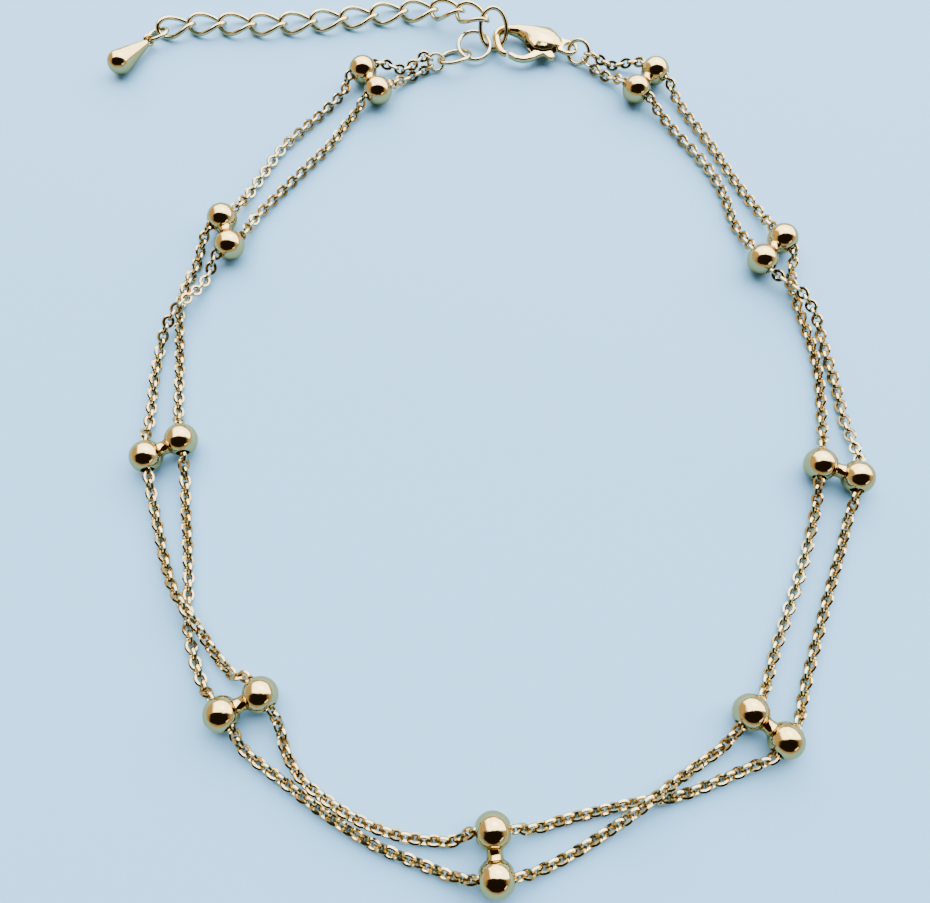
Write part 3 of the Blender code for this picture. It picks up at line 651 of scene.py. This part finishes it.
def slow_wave(places, seed):
    """Smooth wandering between -1 and 1: the mean of sines of unlike lengths."""
    starts = np.random.default_rng(seed).uniform(0.0, 2 * math.pi, len(WANDER_LENGTHS))
    waves = [np.sin(places / length + start) for length, start in zip(WANDER_LENGTHS, starts)]
    return np.mean(waves, axis=0)


def chain_strand(letter, route):
    """Cable chain: one oval link copied along the route, each turned a quarter from the last."""
    sizes = settings().chain
    seed = CHAIN_SEEDS[letter]
    fine = smooth_route(route_points(route, letter))
    wire = sizes.wire / MM
    half_length = (sizes.length / MM - wire) / 2
    half_width = (sizes.width / MM - wire) / 2
    hooked = half_length - wire
    span = route_length(fine) - 2 * hooked
    count = round(span / (sizes.pitch / MM))
    places = hooked + np.linspace(0.0, span, count + 1)
    centres, along = along_route(fine, places)
    side = unit(np.cross(along, [0.0, 0.0, 1.0]))
    up = np.cross(side, along)
    roll = sizes.roll + sizes.roll_drift * slow_wave(places, seed)
    roll = (roll + math.pi / 2 * (np.arange(count + 1) % 2))[:, None]
    across = np.cos(roll) * side + np.sin(roll) * up
    normal = np.cross(along, across)
    beads = np.array([np.mean(bead_run(number, side_name), axis=0)
                      for number in BEAD_PAIRS for side_name in ("inner", "outer")])
    nearest = np.linalg.norm(centres[:, None] - beads[None], axis=2).min(axis=1)
    narrow = 1.0 - sizes.squeeze * np.exp(-(nearest / BORE_RUN) ** 4)
    axes = np.stack([along, across * narrow[:, None], normal], axis=2)
    link = swept_circle(oval(half_length, half_width, 0.0, sizes.around), wire / 2, sizes.sides)
    link_faces = grid_faces(sizes.around, sizes.sides, True, True)
    link = link.reshape(-1, 3)
    points = (np.einsum("nij,kj->nki", axes, link) + centres[:, None]) * MM + SHIFT
    faces = link_faces[None] + (np.arange(count + 1) * len(link))[:, None, None]
    shades = np.random.default_rng(seed + 1).uniform(0.0, 1.0, count + 1)
    shell = Shell()
    shell.add(points, faces.reshape(-1, 4), np.repeat(shades, len(link)))
    for ring_name, angles in (("end_ring", END_RING_ANGLES), ("jump_ring", JUMP_RING_ANGLES)):
        centre, outward, tangent = loop_on_ring(ring_name, angles[letter])
        loop = swept_circle(oval(END_LOOP_RADIUS, END_LOOP_RADIUS, 0.0, LOOP_POINTS) * MM,
                            END_LOOP_WIRE * MM / 2, LOOP_SIDES)
        shell.add(placed(loop.reshape(-1, 3), centre, axes_of(outward, tangent)),
                  grid_faces(LOOP_POINTS, LOOP_SIDES, True, True))
    obj = shell.build(f"chain_{letter}", f"strand_{letter}")
    obj.data.materials.append(metal(f"chain_plating_{letter}", *CHAIN_FINISH))


def bead_profile(sizes):
    """Closed profile of a drilled bead: sphere arc, rounded mouth, bore, rounded mouth.

    The mouth's arc has its centre at the bore radius plus the rounding from the axis and at
    the sphere radius less the rounding from the bead's centre, so it meets both smoothly.
    """
    radius, bore, mouth = sizes.diameter / 2, sizes.bore / 2, sizes.mouth
    centre_height = bore + mouth
    centre_along = math.sqrt((radius - mouth) ** 2 - centre_height ** 2)
    meet = math.atan2(centre_height, centre_along)
    ball = np.linspace(meet, math.pi - meet, BALL_POINTS)
    arc = np.linspace(-math.pi / 2, meet, BORE_POINTS)[1:-1]
    right = np.stack([centre_along + mouth * np.cos(arc), centre_height + mouth * np.sin(arc)], 1)
    left = right[::-1] * (-1.0, 1.0)
    ball = np.stack([radius * np.cos(ball), radius * np.sin(ball)], axis=1)
    wall = np.stack([np.linspace(-centre_along, centre_along, BORE_POINTS),
                     np.full(BORE_POINTS, bore)], axis=1)
    return np.vstack([ball, left, wall, right])


def neck_profile(sizes):
    """Spindle of solder between the beads: thinnest in the middle, flaring with the square of
    the distance to where the beads' surfaces take over, closed by poles inside their walls."""
    half = BEAD_PITCH * MM / 2 - sizes.diameter / 2 + NECK_RUN * MM
    along = np.linspace(-half, half, NECK_POINTS)
    flare = NECK_FLARE * MM * (along / half) ** 2
    radius = sizes.neck / 2 + flare
    return np.vstack([[-half, 0.0], np.stack([along, radius], axis=1), [half, 0.0]])


def bead_pair(number):
    """Two drilled beads and their solder neck."""
    sizes = settings().beads
    x, y, heading, lean = BEAD_PAIRS[number]
    turn = math.radians(heading)
    outward = np.array([math.cos(turn), math.sin(turn), 0.0])
    bore = math.radians(heading + lean) + math.pi / 2
    bore_axes = axes_of((math.cos(bore), math.sin(bore), 0.0), (0.0, 0.0, 1.0))
    ball, ball_faces = turned(bead_profile(sizes), sizes.sides, True)
    neck, neck_faces = turned(neck_profile(sizes), sizes.sides // 2, False)
    centre = np.array([x, y, BEAD_HEIGHT])
    shell = Shell()
    for side in (-1, 1):
        shell.add(placed(ball, centre + outward * side * BEAD_PITCH / 2, bore_axes), ball_faces)
    # The neck's tone gives it the deep colour: painted shade between the two beads
    shell.add(placed(neck, centre, axes_of(outward, (0.0, 0.0, 1.0))), neck_faces, NECK_PAINTED_SHADE)
    name = f"bead_pair_{number}"
    obj = shell.build(f"polished_{name}", name)
    obj.data.materials.append(metal(f"bead_plating_{number}", *BEAD_FINISH))


def wire_ring(name):
    """Jump ring: a circle of wire carried round a circle that stops short at a fine cut; each
    end is closed by a pole on the wire's middle."""
    centre, axis, normal, radius, wire, cut_angle = RINGS[name]
    cut = settings().wires.cut / MM / radius / 2
    turn = math.radians(cut_angle) + np.linspace(cut, 2 * math.pi - cut, RING_POINTS)
    outward = np.stack([np.cos(turn), np.sin(turn), 0 * turn], axis=1)
    around = np.linspace(0.0, 2 * math.pi, WIRE_SIDES, endpoint=False)
    section = wire / 2 * np.cos(around)[None, :, None] * outward[:, None]
    section = section + wire / 2 * np.sin(around)[None, :, None] * np.array([0.0, 0.0, 1.0])
    middle = radius * outward[:, None]
    points = np.concatenate([np.repeat(middle[:1], WIRE_SIDES, axis=1), middle + section,
                             np.repeat(middle[-1:], WIRE_SIDES, axis=1)]) * MM
    shell = Shell()
    shell.add(placed(points.reshape(-1, 3), centre, axes_of(axis, normal)),
              grid_faces(RING_POINTS + 2, WIRE_SIDES, False, True))
    obj = shell.build(f"wire_{name}", name)
    obj.data.materials.append(metal(f"plating_{name}", *RING_FINISH))


def extender_link(number):
    """One link of the extender: a twisted oval, or the plain oval that the claw holds."""
    sizes = settings().wires
    if number <= len(EXTENDER):
        centre, axis = EXTENDER[number - 1]
        axes = axes_of(axis, (0.0, 0.0, 1.0))
        line = oval(sizes.half_length, sizes.half_width, sizes.twist, LINK_POINTS)
    else:
        centre, axis, normal = CLASPED_LINK
        axes = axes_of(axis, normal)
        line = oval(sizes.clasped_half_length, sizes.clasped_half_width, 0.0, LINK_POINTS)
    points = swept_circle(line, sizes.link_wire / 2, WIRE_SIDES)
    shell = Shell()
    shell.add(placed(points.reshape(-1, 3), centre, axes),
              grid_faces(LINK_POINTS, WIRE_SIDES, True, True), LINK_TONES[number % 2])
    obj = shell.build(f"twisted_link_{number}", f"extender_link_{number}")
    obj.data.materials.append(metal(f"link_plating_{number}", *LINK_FINISH))


def casting(node, body):
    """Rounded copy of a CAD node: merged, meshed anew on a fine grid, and smoothed.

    The grid is finer than the Remesh modifier's smallest size, so this works in mm.
    """
    sizes = settings().claw
    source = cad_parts[node]
    bm = bmesh.new()
    bm.from_mesh(source.data)
    bmesh.ops.remove_doubles(bm, verts=bm.verts, dist=NODE_MERGE)
    bmesh.ops.scale(bm, vec=(1 / MM,) * 3, verts=bm.verts)
    mesh = bpy.data.meshes.new(f"cast_{node}")
    bm.to_mesh(mesh)
    bm.free()
    obj = bpy.data.objects.new(f"cast_{node}", mesh)
    bpy.context.collection.objects.link(obj)
    remesh = obj.modifiers.new("grid", "REMESH")
    remesh.mode = "VOXEL"
    remesh.voxel_size = sizes.voxel / MM
    smooth = obj.modifiers.new("rounding", "SMOOTH")
    smooth.factor = 0.5
    smooth.iterations = sizes.rounding
    graph = bpy.context.evaluated_depsgraph_get()
    finished = bpy.data.meshes.new_from_object(obj.evaluated_get(graph))
    finished.transform(Matrix.Scale(MM, 4))
    obj.modifiers.clear()
    obj.data = finished
    obj.data.materials.clear()
    finished.shade_smooth()
    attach(obj, body)
    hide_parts(node)
    obj.data.materials.append(metal(f"casting_{node}", *CAST_FINISH))


def drop_profile(length):
    """Teardrop: a ball at the wide end, then a straight flank that leaves it smoothly, and a
    quarter round at the tip; both ends are poles on the axis."""
    lean = math.asin((DROP_RADIUS - DROP_TIP_RADIUS) / length)
    ball = np.linspace(math.pi, math.pi / 2 - lean, DROP_BALL_POINTS)
    body = np.stack([DROP_RADIUS * np.cos(ball), DROP_RADIUS * np.sin(ball)], axis=1)
    share = np.linspace(0.0, 1.0, DROP_FLANK_POINTS)[1:]
    start = DROP_RADIUS * math.sin(lean)
    radius = DROP_RADIUS + (DROP_TIP_RADIUS - DROP_RADIUS) * share
    flank = np.stack([start + (length - start) * share, radius * math.cos(lean)], axis=1)
    tip = np.linspace(0.0, math.pi / 2, DROP_TIP_POINTS)[1:]
    end = np.stack([length + DROP_TIP_RADIUS / 3 * np.sin(tip),
                    DROP_TIP_RADIUS * math.cos(lean) * np.cos(tip)], axis=1)
    return np.vstack([body, flank, end]) * MM


class OperatorBase:
    bl_options = {"REGISTER", "UNDO"}


class ANKLET_OT_chains(OperatorBase, bpy.types.Operator):
    """Build the two fine cable chains."""

    bl_idname = "anklet.chains"
    bl_label = "Chains"

    def execute(self, context):
        chain_strand("a", ROUTE_A)
        chain_strand("b", ROUTE_B)
        return {"FINISHED"}


class ANKLET_OT_beads(OperatorBase, bpy.types.Operator):
    """Build the soldered bead pairs."""

    bl_idname = "anklet.beads"
    bl_label = "Bead pairs"

    def execute(self, context):
        for number in BEAD_PAIRS:
            bead_pair(number)
        return {"FINISHED"}


class ANKLET_OT_rings(OperatorBase, bpy.types.Operator):
    """Build the jump rings."""

    bl_idname = "anklet.rings"
    bl_label = "Rings"

    def execute(self, context):
        for name in RINGS:
            wire_ring(name)
        return {"FINISHED"}


class ANKLET_OT_extender(OperatorBase, bpy.types.Operator):
    """Build the extender's twisted links."""

    bl_idname = "anklet.extender"
    bl_label = "Extender"

    def execute(self, context):
        for number in range(1, len(EXTENDER) + 2):
            extender_link(number)
        return {"FINISHED"}


class ANKLET_OT_claw(OperatorBase, bpy.types.Operator):
    """Build the cast claw and its lever."""

    bl_idname = "anklet.claw"
    bl_label = "Claw"

    def execute(self, context):
        casting("claw", BODY)
        casting("claw_lever", LEVER_BODY)
        return {"FINISHED"}


class ANKLET_OT_drop(OperatorBase, bpy.types.Operator):
    """Build the small drop at the extender's end."""

    bl_idname = "anklet.drop"
    bl_label = "Drop"

    def execute(self, context):
        wide, narrow = np.array(DROP_WIDE), np.array(DROP_NARROW)
        length = float(np.linalg.norm(narrow - wide))
        points, faces = turned(drop_profile(length), DROP_SIDES, False)
        shell = Shell()
        shell.add(placed(points, DROP_WIDE, axes_of(narrow - wide, (0.0, 0.0, 1.0))), faces)
        eye = swept_circle(oval(EYE_RADIUS, EYE_RADIUS, 0.0, EYE_POINTS) * MM,
                           EYE_WIRE * MM / 2, EYE_SIDES)
        centre, axis, normal = DROP_EYE
        shell.add(placed(eye.reshape(-1, 3), centre, axes_of(axis, normal)),
                  grid_faces(EYE_POINTS, EYE_SIDES, True, True))
        obj = shell.build("polished_drop", "drop")
        obj.data.materials.append(metal("drop_plating", *DROP_FINISH))
        return {"FINISHED"}


def area_light(name, power, size, place, colour):
    """Rectangular light at a place, facing the middle of the floor."""
    light = bpy.data.lights.new(name, "AREA")
    light.shape = "RECTANGLE"
    light.size, light.size_y = size
    light.energy = power
    light.color = colour
    obj = bpy.data.objects.new(name, light)
    bpy.context.collection.objects.link(obj)
    set_pose(obj, look_axes(np.array(place), np.zeros(3)), place)


def look_axes(place, target):
    """Axes of a camera or light whose -Z points from its place to a target, X kept level."""
    backward = unit(place - target)
    right = unit(np.cross([0.0, 0.0, 1.0], backward))
    return np.stack([right, np.cross(backward, right), backward], axis=1)


def set_pose(obj, axes, place):
    matrix = np.eye(4)
    matrix[:3, :3] = axes
    matrix[:3, 3] = place
    obj.matrix_world = Matrix(matrix.tolist())


def room():
    """World light: a wide window from overhead down to a hand above the horizon, a pale wall
    round it that is warmer on the left, and on the camera's side a dark oval with tan round it."""
    world = bpy.data.worlds.new("room")
    bpy.context.scene.world = world
    maker = Maker(world)
    place = maker.node("ShaderNodeTexCoord", output="Generated")
    x, y, z = (maker.node("ShaderNodeSeparateXYZ", {}, {"Vector": place}, axis)
               for axis in "XYZ")
    walls = maker.mix(maker.ease(x, *WARM_EDGE), PALE_WALL, WARM_WALL)
    pane = (maker.ease(x, *WINDOW_LEFT_EDGE) * maker.ease(y, *WINDOW_NEAR_EDGE)
            * maker.ease(z, *WINDOW_LOW_EDGE))
    lit = maker.mix(pane, walls, WINDOW_LIGHT)
    dark = maker.ease(x * x, *DARK_SIDE_EDGES) * maker.ease(z, *DARK_LOW_EDGE)
    room_side = maker.mix(dark, TAN_ROOM, DARK_ROOM)
    light = maker.mix(maker.ease(y + x * x * LIT_BEND, *LIT_EDGE), room_side, lit)
    maker.feed(maker.shader.inputs["Color"], light)


class ANKLET_OT_stage(OperatorBase, bpy.types.Operator):
    """Build the floor, the lights and the camera."""

    bl_idname = "anklet.stage"
    bl_label = "Stage"

    def execute(self, context):
        sizes = settings().stage
        mesh = bpy.data.meshes.new("floor")
        reach = FLOOR_REACH
        mesh.from_pydata([(-reach, -reach, 0.0), (reach, -reach, 0.0), (reach, reach, 0.0),
                          (-reach, reach, 0.0)], [], [(0, 1, 2, 3)])
        floor = bpy.data.objects.new("floor", mesh)
        context.collection.objects.link(floor)
        maker = Maker(bpy.data.materials.new("floor_paper"))
        maker.feed(maker.shader.inputs["Base Color"], rgba(sizes.floor))
        maker.feed(maker.shader.inputs["Roughness"], FLOOR_ROUGHNESS)
        mesh.materials.append(maker.owner)

        area_light("window", sizes.window_power, *WINDOW_PANEL)
        area_light("side", sizes.fill_power, *SIDE_PANEL)
        room()

        camera = bpy.data.cameras.new("camera")
        camera.lens = FOCAL_PIXELS / IMAGE_WIDTH * SENSOR_WIDTH
        camera.sensor_width = SENSOR_WIDTH
        camera.sensor_fit = "HORIZONTAL"
        camera.clip_start = MM
        camera.clip_end = CLIP_END
        obj = bpy.data.objects.new("camera", camera)
        context.collection.objects.link(obj)
        backward = np.array([0.0, -math.cos(sizes.elevation), math.sin(sizes.elevation)])
        place = SHIFT + backward * sizes.distance
        set_pose(obj, look_axes(place, SHIFT), place)
        context.scene.camera = obj
        return {"FINISHED"}


class ANKLET_PT_panel(bpy.types.Panel):
    """Lists the anklet's pieces and sizes."""

    bl_idname = "ANKLET_PT_panel"
    bl_label = "Anklet"
    bl_space_type = "VIEW_3D"
    bl_region_type = "UI"
    bl_category = "Anklet"

    def draw(self, context):
        layout = self.layout
        anklet = context.scene.anklet
        for operator in BUILD_ORDER:
            layout.operator(operator.bl_idname)
        for group_name in anklet.bl_rna.properties.keys():
            group = getattr(anklet, group_name)
            if not isinstance(group, bpy.types.PropertyGroup):
                continue
            box = layout.box()
            for name in group.bl_rna.properties.keys():
                if name not in {"rna_type", "name"}:
                    box.prop(group, name)


BUILD_ORDER = (ANKLET_OT_chains, ANKLET_OT_beads, ANKLET_OT_rings, ANKLET_OT_extender,
               ANKLET_OT_claw, ANKLET_OT_drop, ANKLET_OT_stage)
CLASSES = (ChainSettings, BeadSettings, WireSettings, ClawSettings, MetalSettings, StageSettings,
           AnkletSettings, *BUILD_ORDER, ANKLET_PT_panel)


def register():
    for one in CLASSES:
        bpy.utils.register_class(one)
    bpy.types.Scene.anklet = PointerProperty(type=AnkletSettings)


def unregister():
    del bpy.types.Scene.anklet
    for one in reversed(CLASSES):
        bpy.utils.unregister_class(one)


def main():
    register()
    for operator in BUILD_ORDER:
        group, name = operator.bl_idname.split(".")
        getattr(getattr(bpy.ops, group), name)()


if __name__ == "__main__":
    main()
